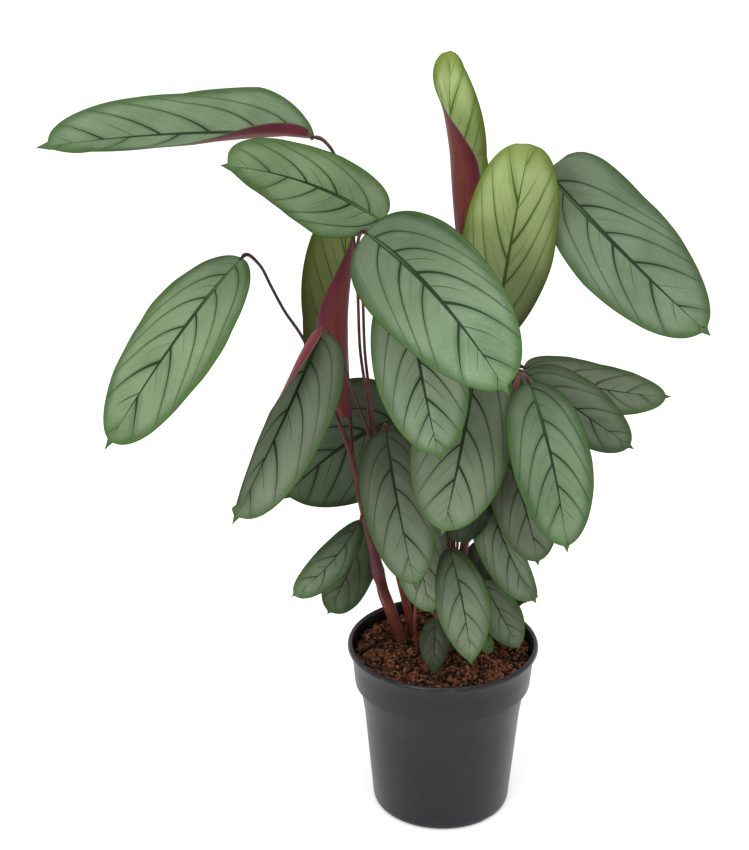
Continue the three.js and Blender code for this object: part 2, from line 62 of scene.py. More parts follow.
class Value:
    def __init__(self, tree, socket):
        self.tree, self.socket = tree, socket

    def maths(self, operation, *values):
        return self.tree.add("ShaderNodeMath", dict(enumerate(values)), operation=operation)

    __add__ = __radd__ = of_two("ADD")
    __mul__ = __rmul__ = of_two("MULTIPLY")
    __sub__, __truediv__, __pow__ = of_two("SUBTRACT"), of_two("DIVIDE"), of_two("POWER")

    def __rsub__(self, other):
        return self.maths("SUBTRACT", other, self)

    def __abs__(self):
        return self.maths("ABSOLUTE", self)

    def most(self, *others):
        largest = self
        for other in others:
            largest = self.maths("MAXIMUM", largest, other)
        return largest

    def step(self, low, high):
        """0 below low, 1 above high and smooth between them; high may be the smaller one."""
        return self.tree.add("ShaderNodeMapRange",
                             {"Value": self, "From Min": low, "From Max": high},
                             interpolation_type="SMOOTHSTEP")

    def mix(self, first, second):
        """The first colour where the value is 0, the second where it is 1."""
        return self.tree.add("ShaderNodeMix", {0: self, 6: first, 7: second}, 2, data_type="RGBA")

    def scale(self, factor):
        return self.tree.add("ShaderNodeVectorMath", {0: self, "Scale": factor}, operation="SCALE")

    def noise(self, scale, detail=3.0, roughness=0.55):
        return self.tree.add("ShaderNodeTexNoise", {"Vector": self, "Scale": scale,
                                                    "Detail": detail, "Roughness": roughness})

    def parts(self):
        """The X, Y and Z of a vector."""
        split = self.tree.add("ShaderNodeSeparateXYZ", {0: self})
        return [Value(self.tree, socket) for socket in split.socket.node.outputs]

# %% A tree that adds nodes
class NodeTree:
    def __init__(self, tree):
        self.tree = tree

    def add(self, kind, inputs=None, output=0, **settings):
        node = self.tree.nodes.new(kind)
        for name, setting in settings.items():
            setattr(node, name, setting)
        for key, value in (inputs or {}).items():
            if isinstance(value, Value):
                self.tree.links.new(value.socket, node.inputs[key])
            else:
                node.inputs[key].default_value = value
        return Value(self, node.outputs[output])

    def join(self, x, y, z=0.0):
        return self.add("ShaderNodeCombineXYZ", {0: x, 1: y, 2: z})

# %% A finish: one Principled shader and the tree that feeds it
def srgb(red, green, blue):
    """The shader's linear colour for a colour as it is seen on a screen, 0 to 255."""
    seen = [c / 255 for c in (red, green, blue)]
    return tuple(c / 12.92 if c < 0.04045 else ((c + 0.055) / 1.055) ** 2.4 for c in seen) + (1.0,)


def painted(colour, *coats):
    """A colour under some coats, each a share and a colour."""
    for share, coat in coats:
        colour = share.mix(colour, coat)
    return colour


class Finish(NodeTree):
    def __init__(self, name, **constants):
        self.material = bpy.data.materials.new(name)
        self.material.use_nodes = True
        super().__init__(self.material.node_tree)
        self.shader = self.tree.nodes["Principled BSDF"].inputs
        for socket, value in constants.items():
            self.shader[socket.replace("_", " ")].default_value = value

    def place(self):
        return self.add("ShaderNodeTexCoord", output=3)

    def map(self, name):
        return self.add("ShaderNodeUVMap", uv_map=name)

    def attribute(self, name):
        return self.add("ShaderNodeAttribute", output=2, attribute_name=name)

    def done(self, colour, relief, strength, depth, roughness=None):
        """The material, once colour, relief and roughness feed its shader."""
        bump = self.add("ShaderNodeBump", {"Height": relief, "Strength": strength,
                                           "Distance": depth})
        fed = {"Base Color": colour, "Normal": bump, "Roughness": roughness}
        for socket, value in fed.items():
            if value is not None:
                self.tree.links.new(value.socket, self.shader[socket])
        return self.material

# %% New objects
scene = bpy.context.scene


def new_object(name, data, linked=True):
    made = bpy.data.objects.new(name, data)
    if linked:
        scene.collection.objects.link(made)
    return made


def mesh_object(name, points, faces, edges=(), linked=True):
    """An object from points, in metres, and faces."""
    mesh = bpy.data.meshes.new(name)
    mesh.from_pydata(points, edges, faces)
    return new_object(name, mesh, linked)


def shaped(source):
    """An object's mesh as its modifiers leave it."""
    bpy.context.view_layer.update()
    graph = bpy.context.evaluated_depsgraph_get()
    return bpy.data.meshes.new_from_object(source.evaluated_get(graph))


print("helpers ready, for example a mid grey:", [round(c, 3) for c in srgb(128, 128, 128)])

# %% [markdown]
# ## Leaf finishes
# A leaf is painted by its veins, so the pattern has to follow the blade and not the room. Each
# blade carries three UV maps: `place` holds how far a point lies across and along the blade,
# `veins` holds a count that grows by one from each side vein to the next and the distance to the
# margin, and `tone` holds the painted shade of that leaf and how yellow it is. The shader draws
# crisp lines where the count is whole, however the blade bends.

# %% Reading the maps of a blade
def blade_maps(finish):
    """Across, along, vein count, distance to the margin, number of the nearest vein and how far
    off it a point is, as a share of the gap between two veins."""
    across, along, _ = finish.map("place").parts()
    count, margin, _ = finish.map("veins").parts()
    number = count.maths("ROUND", count)
    return across, along, count, margin, number, abs(count - number)


# %% The pattern of side veins, hair lines and green margin
LEAF_SHEEN = 0.12
SMALL_HALF, LARGE_HALF = 0.012, 0.04  # half-widths in metres: wider blades have stronger veins
GREEN_MARGIN, MORE_AT_TIP, DARK_RIM = 0.0062, 0.004, 0.0011
# SOIL_BOUNCE_GREY is a painted tint of warm light bounced from the soil onto the lower leaves.
WATER_MARK, OLIVE, SOIL_BOUNCE_GREY = srgb(150, 160, 138), srgb(102, 112, 42), srgb(112, 108, 96)
RIM_COLOUR = srgb(44, 58, 22)


def leaf_finish(name, body, silver, vein, edge, rib_base, thickness):
    finish = Finish(name, Specular_IOR_Level=LEAF_SHEEN)
    across, along, count, margin, number, off_line = blade_maps(finish)
    # The tone map holds the leaf's painted shade, painted light where it is below 0, and its
    # yellow.
    dark, yellow, _ = finish.map("tone").parts()
    spot = finish.place()
    reach = abs(across)
    wide = (margin / (1.0001 - reach)).step(SMALL_HALF, LARGE_HALF)

    chance = finish.add("ShaderNodeTexWhiteNoise", {"W": number}, noise_dimensions="1D")
    width = thickness * (0.55 + 0.45 * wide) * (1.0 - 0.7 * reach) * (0.75 + 0.45 * chance)
    width = width * (1.0 - 0.65 * along.step(0.7, 0.95))
    side_vein = (off_line / width).step(1.25, 0.75) * (reach - 0.15 * chance).step(0.95, 0.72)
    short = reach.step(0.5, 0.25) * chance.step(0.35, 0.55)
    thin_vein = (0.5 - off_line).step(0.024, 0.008) * short * 0.8
    hair = finish.join(count * 14.0, 3.0 * number).noise(1.0, 1.0)
    hairs = hair.step(0.6, 0.72) * reach.step(0.5, 0.08) * 0.4
    midrib = (reach / ((0.04 + 0.016 * wide) * (1.12 - along))).step(1.15, 0.8)
    veins = side_vein.most(thin_vein, hairs, midrib)

    streaks = finish.join(count * 22.0, across * 1.2).noise(1.0, 3.0, 0.6)
    fine = finish.join(count * 75.0, across * 4.0).noise(1.0, 2.0)
    grain, patches = spot.noise(420.0, 2.0), spot.noise(22.0, 2.0)
    light = 0.7 * margin.step(0.0, 0.012) + 0.35 * patches.step(0.3, 0.7)
    light = light + 0.5 * (streaks - 0.5) + 0.8 * (fine - 0.5) + 0.35 * (grain - 0.5)
    light = light * (0.6 + 0.4 * off_line.step(0.02, 0.2))
    specks = spot.noise(620.0, 2.0) + 0.25 * patches

    wander = MORE_AT_TIP * (spot.noise(90.0, 2.0) - 0.5)
    tip = along.step(0.86, 0.99)
    band = (margin + wander).step(GREEN_MARGIN + MORE_AT_TIP * tip, 0.0006)
    core = (reach / (0.026 * (1.15 - along))).step(1.3, 0.6) * along.step(0.42, 0.05)
    colour = painted(
        light.mix(body, silver),
        (specks.step(0.8, 0.9) * 0.5, WATER_MARK),
        (yellow * 0.3, OLIVE),
        # Below 0, yellow lays a painted grey of light bounced from the soil on the lower leaves.
        (yellow * -0.5, SOIL_BOUNCE_GREY),
        ((band * 0.85).most(tip * 0.7) * 0.85, edge),
        (margin.step(DARK_RIM, 0.0004) * 0.75, RIM_COLOUR),
        (veins * 0.95, core.mix(vein, rib_base)))
    # The tone's darkness paints shade on the leaf, and paints light where it is below 0.
    return finish.done(colour.scale(1.0 - 0.8 * dark),
                       streaks * 0.3 - veins * 0.8 + grain * 0.2, 0.35, 0.0006,
                       roughness=0.4 + 0.12 * streaks + 0.08 * veins)


silver_leaf = leaf_finish("silver leaf", body=srgb(42, 64, 36), silver=srgb(100, 120, 92),
                          vein=srgb(18, 40, 18), edge=srgb(58, 90, 36),
                          rib_base=srgb(76, 102, 54), thickness=0.043)
pale_leaf = leaf_finish("young leaf", body=srgb(74, 94, 40), silver=srgb(136, 150, 98),
                        vein=srgb(50, 78, 18), edge=srgb(88, 102, 24),
                        rib_base=srgb(78, 106, 30), thickness=0.042)

# %% [markdown]
# The underside is burgundy with a dull orange cast in the middle of each half, and its veins show
# as slightly raised, darker lines. It reads the same maps. Young leaves are a little darker below.

# %% Burgundy underside
def underside_finish(name, bright):
    finish = Finish(name, Roughness=0.5, Specular_IOR_Level=LEAF_SHEEN)
    across, _, count, margin, _, off_line = blade_maps(finish)
    reach = abs(across)
    vein = off_line.step(0.035, 0.01) * reach.step(0.95, 0.5)
    streaks = finish.join(count * 26.0, across * 2.0).noise(1.0, 2.0)
    patches = finish.place().noise(26.0, 3.0)
    middle = reach.step(0.1, 0.4) * reach.step(0.95, 0.6)
    warm = middle * (0.6 + 0.4 * patches.step(0.3, 0.72))
    colour = painted(
        warm.mix(srgb(94, 35, 54), srgb(114, 56, 46)),
        (streaks.step(0.45, 0.8) * 0.35, srgb(110, 62, 46)),
        (vein * 0.5, srgb(64, 24, 32)),
        (margin.step(0.0015, 0.0), srgb(88, 80, 40)))
    return finish.done(colour.scale(bright), vein * 0.6 + streaks * 0.3, 0.4, 0.0006)


burgundy = underside_finish("burgundy underside", bright=1.0)
young_burgundy = underside_finish("young underside", bright=0.78)
print("leaf finishes:", [f.name for f in (silver_leaf, pale_leaf, burgundy, young_burgundy)])

# %% [markdown]
# ## Blades
# A blade is a thin sheet bent round its midrib. It could be sculpted, or cut from a flat plane
# and bent by modifiers, but a formula gives every leaf its own measured curve: the midrib is a
# three-point curve, the outline is a round oblong with a short drawn-out point, and each half
# leaves the midrib at a fold angle and turns by a curl angle on its way to the margin. The table
# gives, in millimetres and degrees, the values that the CAD blades were made from. Only the roll
# of the top left leaf is a little tighter here, so that more of its burgundy back shows. Each
# leaf also has a tone of its own. Its darkness is painted shade, deepest on leaves in the shade
# of others, and it becomes painted light below 0. Its yellow makes young leaves more olive, and
# below 0 it lays a painted grey of light bounced from the soil on the lower leaves.

# %% Leaves: base, middle and tip of the midrib, width, and the way the upper face looks
PLAIN = {"belly": 0.47, "round": [2.2, 2], "body": 0.965, "point": 0.075, "fold": [8, 8, 4],
         "curl": [-14, -18, -20], "wave": 1.2, "turn": [0, 0, 0], "sweep": 1.0,
         "darker_right": 0, "left": {}, "right": {}}


def row(base, mid, tip, width, face, dark=(0.25, 0.1, 0), yellow=0.25, **shape):
    """One leaf. `dark` is its painted shade at the base, middle and tip, painted light below 0,
    `yellow` is below 0 where a painted grey of light bounced from the soil tints it,
    `darker_right` paints shade on the right half and light on the left, the other way round
    below 0, `turn` twists the face along the blade, `sweep` leans the side veins forward, and the
    rest shapes both halves or the `left` or `right` one."""
    return dict(PLAIN, base=base, mid=mid, tip=tip, width=width, face=face, dark=dark,
                yellow=yellow, **shape)


LEAVES = dict(
    leaf_top_left=row([-110, 20, 613], [-210, 8, 619], [-328, -25, 616], 84, [-5, 28],
        [0.15, 0, 0], 0.2, right=dict(width=96, belly=0.23, round=[1.4, 2.2], fold=[-15, -22, 0],
        curl=[-10, -14, -20]), left=dict(belly=0.35, round=[1.8, 1.35], fold=[60, 34, 32],
        curl=[95, 60, 0])),
    leaf_upper_left=row([-54, -4, 548], [-112, -28, 587], [-180, -60, 611], 65, [-10, 34],
        [0.1, 0, 0.05], 0.5, right=dict(width=62, belly=0.5, round=[3.1, 2.8]), left=dict(width=76,
        belly=0.32, round=[1.6, 1.35], fold=[0, -8, -10], curl=[-30, -55, -40])),
    young_leaf_left=row([-82, 22, 366], [-85, 36, 449], [-85, 50, 562], 87, [-15, 10],
        [0.66, 0.56, 0.26], 2, darker_right=-0.25, sweep=2.1, turn=[-70, -40, 10], wave=0,
        right=dict(fold=[10, 10, 10], curl=[190, 180, 60]), left=dict(fold=[10, 0, 0],
        curl=[130, 60, 30])),
    leaf_far_left=row([-170, 0, 517], [-222, -45, 462], [-281, -70, 376], 84, [-30, 30],
        [0.2, -0.23, -0.1], 0.3, belly=0.5, round=[2.05, 2.1], right=dict(width=80),
        left=dict(round=[1.8, 2.1])),
    leaf_front_large=row([-68, -26, 546], [-13, -100, 518], [42, -150, 455], 95, [0, 24],
        [0.39, 0.05, -0.36], 0, belly=0.42, round=[2.3, 1.9], left=dict(round=[2.3, 2.2])),
    leaf_left_folded=row([-105, -25, 462], [-134, -62, 402], [-178, -80, 313], 74, [-10, 22],
        [0.57, 0.27, -0.05], -0.6, right=dict(width=70, round=[2.6, 1.7], fold=[10, 60, 66],
        curl=[200, 40, 30]), left=dict(round=[2.2, 2.3])),
    leaf_left_shaded=row([-34, 50, 353], [-86, 50, 329], [-142, 25, 287], 106, [0, 25],
        [0.8, 0.7, 0.6], 0),
    leaf_front_middle=row([-36, -25, 508], [-24, -82, 448], [-9, -112, 384], 75, [0, 24],
        [0.1, -0.3, -0.25], -0.3, right=dict(round=[2.2, 1.75])),
    leaf_front_lower=row([24, -12, 446], [11, -58, 376], [-6, -88, 306], 84, [5, 24],
        [0.62, 0.21, -0.2], -0.5),
    young_leaf_pale=row([39, 8, 436], [50, 12, 515], [65, 18, 608], 82, [-5, 15],
        [0.9, 0.37, -0.1], 0.1, darker_right=0.22, sweep=1.6, belly=0.52, round=[1.9, 2.4], body=1,
        point=0, fold=[14, 12, 8], right=dict(width=74, round=[1.5, 2.4])),
    leaf_top_right=row([81, 50, 576], [148, 12, 514], [214, -30, 460], 86, [10, 28],
        [0.4, 0.12, 0.05], -0.2, darker_right=-0.06, left=dict(width=97, belly=0.42,
        round=[3.8, 1.8]), right=dict(round=[1.8, 2])),
    young_leaf_top=row([14, 60, 485], [4, 75, 579], [2, 80, 671], 76, [15, 5],
        [-0.05, -0.52, -0.52], 0, sweep=2.3, turn=[65, 45, 0], wave=0, belly=0.35, body=1, point=0,
        left=dict(width=74, round=[2.2, 2.2], fold=[10, 10, 10], curl=[190, 140, 0]),
        right=dict(round=[2.2, 1.7], fold=[10, 0, 0], curl=[130, 70, 90])),
    leaf_right_lower=row([66, 8, 412], [107, -18, 391], [155, -40, 363], 54, [10, 30],
        [0.42, 0.42, 0.42], -0.3),
    leaf_right_upper=row([66, 20, 413], [129, 26, 392], [194, 25, 384], 46, [10, 40],
        [0, -0.2, -0.2], -0.6),
    leaf_right_front=row([67, -30, 418], [83, -82, 371], [96, -106, 300], 66, [5, 24],
        [0.45, 0.1, -0.05], 0.1),
    leaf_right_behind=row([47, -6, 352], [65, -42, 313], [77, -60, 265], 54, [5, 24],
        [0.45, 0.35, 0.35], -0.7),
    leaf_right_low=row([34, -6, 318], [52, -30, 268], [78, -45, 221], 50, [5, 24],
        [0.4, 0.08, -0.05], -0.6, left=dict(fold=[50, 76, 78])),
    leaf_centre_left=row([-51, -15, 370], [-42, -56, 323], [-26, -72, 248], 60, [0, 24],
        [0.82, 0.52, 0], -0.6, round=[2.1, 2.1]),
    leaf_centre_low=row([-10, -6, 298], [-20, -26, 256], [-10, -40, 207], 48, [0, 24],
        [0.18, -0.22, -0.32], -0.7),
    leaf_low_front=row([3, -35, 269], [14, -75, 233], [21, -88, 185], 46, [0, 24],
        [0.7, 0.22, -0.1], -0.5, belly=0.52, round=[1.9, 1.5]),
    leaf_low_dark=row([-7, -30, 200], [-9, -45, 180], [-9, -57, 158], 27, [0, 24],
        [0.85, 0.85, 0.85], -0.7, round=[1.8, 1.5]),
    leaf_low_right=row([34, -4, 222], [52, -20, 192], [66, -30, 168], 36, [0, 24], [0.2, 0, 0],
        -0.6, round=[2, 1.6]),
    leaf_low_shaded=row([30, 18, 250], [46, 14, 215], [74, 5, 195], 40, [0, 24],
        [0.95, 0.95, 0.95], -0.4),
    leaf_low_tiny=row([28, -10, 190], [34, -24, 176], [42, -37, 168], 16, [0, 24]),
    leaf_centre_shaded=row([30, -22, 324], [16, -32, 298], [0, -38, 281], 40, [0, 24],
        [0.9, 0.9, 0.9], 0.2),
    leaf_left_low=row([-73, -5, 281], [-99, -35, 254], [-132, -50, 230], 31, [-10, 24],
        [0.9, 0.45, -0.1], -0.3, round=[1.7, 2.1]),
    leaf_left_lowest=row([-68, 34, 257], [-84, 24, 217], [-103, 12, 180], 42, [-10, 24],
        [0.85, 0.75, 0.5], 0.6, left=dict(width=46, round=[2.2, 2.4])),
    leaf_back_top=row([-14, 55, 490], [-20, 108, 480], [-15, 150, 420], 80, [175, 45]),
    leaf_back_right=row([24, 45, 392], [44, 95, 380], [56, 135, 320], 74, [160, 45]),
    leaf_back_left=row([-38, 74, 368], [-58, 118, 350], [-72, 150, 292], 68, [200, 45]),
    leaf_back_middle=row([0, 40, 330], [10, 90, 320], [15, 125, 260], 62, [175, 45]),
    leaf_back_low_left=row([-30, 45, 265], [-50, 75, 260], [-65, 95, 215], 46, [205, 45]),
    leaf_back_low_right=row([30, 35, 250], [50, 65, 240], [62, 85, 200], 44, [150, 45]))
print("longest blade:", max(LEAVES, key=lambda n: dist(LEAVES[n]["base"], LEAVES[n]["tip"])))

# %% Curves along the blade
STALK_END, TIP_END = 1.4, 0.4  # the least half-width at either end


def along(values, t):
    """A quantity given at the base, the middle and the tip."""
    return np.interp(t, [0, 0.5, 1], values)


def side_shape(leaf, sign):
    """Everything that shapes one half: the leaf's values, then those of that side."""
    return {**leaf, **leaf["left" if sign < 0 else "right"]}


def outline(shape, t):
    """Half-width as a share of the widest."""
    belly, (first, last), body = shape["belly"], shape["round"], shape["body"]
    near = np.clip(1 - t / belly, 0, 1)
    far = np.clip((t - belly) / (body - belly), 0, 1)
    oblong = np.where(t < belly, (1 - near ** first) ** (1 / first),
                      (1 - far ** last) ** (1 / last))
    drawn_out = np.interp(t, [0, 0.5, 0.501, min(body, 0.999), 1], [0, 0, 1, 1, 0])
    return (oblong ** 3 + (drawn_out * shape["point"]) ** 3) ** (1 / 3)


def midrib_curve(leaf, t):
    """Points and unit directions of the midrib."""
    base, mid, tip = (np.array(leaf[k], float) for k in ("base", "mid", "tip"))
    control = 2 * mid - (base + tip) / 2
    t = t[:, None]
    points = (1 - t) ** 2 * base + 2 * t * (1 - t) * control + t ** 2 * tip
    slopes = 2 * (1 - t) * (control - base) + 2 * t * (tip - control)
    return points, slopes / norm(slopes, axis=1)[:, None]


def directions(azimuth, elevation):
    a, e = np.radians(azimuth), radians(elevation)
    return np.stack([np.sin(a) * cos(e), -np.cos(a) * cos(e),
                     np.full_like(a, sin(e))], axis=1)

# %% The blade's middle surface on a grid, and how wide it is there
OPENING = 0.18  # a half narrower than this share of the blade folds and curls less
WAVES, RIPPLES = 2.3, 6.3  # along the margin, from base to tip


def blade_surface(leaf, t, u, seed):
    points, slopes = midrib_curve(leaf, t)
    azimuth, elevation = leaf["face"]
    up = directions(azimuth + along(leaf["turn"], t), elevation)
    up -= np.sum(up * slopes, axis=1)[:, None] * slopes
    up /= norm(up, axis=1)[:, None]
    side = np.cross(slopes, up)
    half = np.zeros((len(t), len(u)))
    grid = np.zeros((*half.shape, 3))
    for sign in (-1, 1):
        shape = side_shape(leaf, sign)
        least = np.where(t < 0.5, STALK_END, TIP_END)
        width = np.maximum(shape["width"] / 2 * outline(shape, t), least)
        opened = np.minimum(1, width / (OPENING * shape["width"]))
        fold = (opened * np.radians(along(shape["fold"], t)))[:, None]
        curl = opened * np.radians(along(shape["curl"], t))
        curl = np.where(abs(curl) < 1e-3, 1e-3, curl)[:, None]
        here = u < 0 if sign < 0 else u >= 0
        reach = abs(u[here])[None, :]
        out = width[:, None] / curl * (np.sin(fold + curl * reach) - np.sin(fold))
        lift = width[:, None] / curl * (np.cos(fold) - np.cos(fold + curl * reach))
        swing = np.sin(pi * t)[:, None] * shape["wave"]
        phase = 2 * pi * WAVES * t + leaf["width"] + (1.7 if sign < 0 else 0)
        ripple = np.sin(2 * pi * RIPPLES * t + 2.1 * seed + sign)[:, None]
        flutter = 0.3 * reach ** 3 * ripple
        wave = swing * (reach ** 2 * np.sin(phase)[:, None] + flutter)
        grid[:, here] = (points[:, None] + side[:, None] * (sign * out)[..., None]
                         + up[:, None] * (lift + wave)[..., None])
        half[:, here] = width[:, None]
    return grid, half

# %% The count of side veins
FEWEST_VEINS, LENGTH_PER_VEIN = 2.5, 68
APART, SIDES_APART = 20, 100  # no two halves share a vein's number, which seeds its look


def blade_length(leaf):
    return dist(leaf["base"], leaf["mid"]) + dist(leaf["mid"], leaf["tip"])


def vein_count(leaf, t, distance, seed, sign):
    """Grows by one from each side vein to the next. A vein leaves the midrib at about 45 degrees
    and bends forward a little on its way to the margin."""
    length, sweep = blade_length(leaf), leaf["sweep"]
    strong = (FEWEST_VEINS + length / LENGTH_PER_VEIN) / sweep ** 0.4
    widest = side_shape(leaf, sign)["width"] / 2
    tt, out = t[:, None], distance / widest
    lean = sweep * (0.65 + 0.85 * tt) * out + (2.1 - 1.1 * tt) * out ** 3
    start = tt - widest / length * lean
    start = (start + np.sqrt(start ** 2 + 0.0009)) / 2
    spread = 1.3 * start - 0.35 * start ** 2
    uneven = 0.12 * np.sin(7.0 * start + seed) + 0.03 * np.sin(17.0 * start + 2.3 * seed + sign)
    offset = 0.3 + (0.4 if sign < 0 else 0)
    return strong * spread + uneven + offset + APART * round(seed) + SIDES_APART * (sign < 0)


longest = max(map(blade_length, LEAVES.values()))
print("side veins in half of the longest blade: about",
      round(FEWEST_VEINS + longest / LENGTH_PER_VEIN))

# %% [markdown]
# The sheet gets its two faces here. Between side veins the blade swells by half a millimetre, the
# midrib is a groove above and a round ridge below, and the margin thins out. The upper face takes
# the silver finish and the lower one burgundy.

# %% Faces and maps of a blade
def blade_faces(rows, columns):
    """Corner numbers of the upper face, the lower face and the strip round the margin."""
    total = rows * columns
    index = np.arange(total).reshape(rows, columns)
    a, b = index[:-1, :-1].ravel(), index[:-1, 1:].ravel()
    c, d = index[1:, :-1].ravel(), index[1:, 1:].ravel()
    upper = np.stack([a, b, d, c], axis=1)
    lower = np.stack([a, c, d, b], axis=1) + total
    loop = np.concatenate([index[0, :-1], index[:-1, -1], index[-1, :0:-1], index[:0:-1, 0]])
    following = np.roll(loop, -1)
    rim = np.stack([loop, loop + total, following + total, following], axis=1)
    return upper, lower, rim


def add_map(mesh, name, first, second):
    layer = mesh.uv_layers.new(name=name)
    values = np.stack([first.ravel(), second.ravel()], axis=1)
    layer.data.foreach_set("uv", values.astype(np.float32).ravel())

# %% Build one blade
FINE_GRID, COARSE_GRID, SMALL_LEAF = (88, 44), (56, 28), 45
# Millimetres: half the sheet, the swelling between veins, the groove above the midrib, the ridge
# below it at the tip and what it gains towards the base, and how wide groove and ridge are.
SHEET, PILLOW, GROOVE, RIDGE, RIDGE_GAIN, RIB = 0.28, 0.45, 0.45, 0.2, 1.1, 1.3


def build_blade(name, leaf, seed):
    rows, columns = COARSE_GRID if leaf["width"] < SMALL_LEAF else FINE_GRID
    s = np.linspace(0, 1, rows + 1)
    t = 0.72 * s + 0.28 * (1 - np.cos(pi * s)) / 2
    w = np.linspace(-1, 1, columns + 1)
    u = np.sign(w) * abs(w) ** 1.35
    grid, half = blade_surface(leaf, t, u, seed)
    normal = np.cross(np.gradient(grid, axis=1), np.gradient(grid, axis=0))
    normal /= norm(normal, axis=2)[..., None] + 1e-12

    reach = abs(u)[None, :]
    distance = reach * half
    counts = {sign: vein_count(leaf, t, distance, seed, sign) for sign in (-1, 1)}
    count = np.where(u[None, :] < 0, counts[-1], counts[1])
    pillow = (1 - np.cos(2 * pi * count)) / 2
    pillow = pillow * np.clip(distance / 5, 0, 1) * np.clip((1 - reach) * 3, 0, 1)
    relief = PILLOW * pillow * np.minimum(1, half / 14)
    taper = (1 - t)[:, None] ** 0.8
    rib = np.exp(-(distance / RIB) ** 2)
    upper = grid + normal * (SHEET + relief - GROOVE * rib * taper)[..., None]
    lower = grid + normal * (relief - SHEET - (RIDGE + RIDGE_GAIN * taper) * rib)[..., None]

    top, under, rim = blade_faces(*half.shape)
    faces = np.concatenate([top, under, rim])
    points = np.concatenate([upper.reshape(-1, 3), lower.reshape(-1, 3)]) * MM
    blade = mesh_object(name, points.tolist(), faces.tolist())
    blade.name = name + "_blade"
    mesh = blade.data
    flat_u = np.tile(u, len(t) * 2)
    flat_t = np.tile(np.repeat(t, len(u)), 2)
    margin = np.tile(((1 - reach) * half).ravel() * MM, 2)
    left, right = (np.tile(counts[sign].ravel(), 2)[faces] for sign in (-1, 1))
    on_left = flat_u[faces].mean(axis=1)[:, None] < 0
    # Painted shade along the blade and across it; below 0 it is painted light.
    painted_shade_map = along(leaf["dark"], flat_t) + leaf["darker_right"] * flat_u
    add_map(mesh, "place", flat_u[faces], flat_t[faces])
    add_map(mesh, "veins", np.where(on_left, left, right), margin[faces])
    add_map(mesh, "tone", painted_shade_map[faces], np.full(faces.shape, leaf["yellow"]))
    young = name.startswith("young")
    mesh.materials.append(pale_leaf if young else silver_leaf)
    mesh.materials.append(young_burgundy if young else burgundy)
    kind = np.repeat(np.int32([0, 1, 0]), [len(top), len(under), len(rim)])
    mesh.polygons.foreach_set("material_index", kind)
    mesh.shade_smooth()
    mesh.set_sharp_from_angle(angle=radians(60))
    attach(blade, "root")
    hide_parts(name)
    return len(faces) * 2

# %% Build them all
triangles = [build_blade(name, leaf, 1.0 + i) for i, (name, leaf) in enumerate(LEAVES.items())]
print(len(triangles), "blades,", sum(triangles), "triangles, the largest", max(triangles))

# %% [markdown]
# ## Canes and leaf stalks
# Every stalk is a round tube that follows a path and tapers, thicker where an old leaf grew, with
# a swollen hinge under its blade. A curve with a bevel would do, but a Geometry Nodes tree keeps
# the number of sides as an input and carries each point's own radius and redness to the finish.
# Each path goes through points in millimetres that give x, y, z and the radius there.

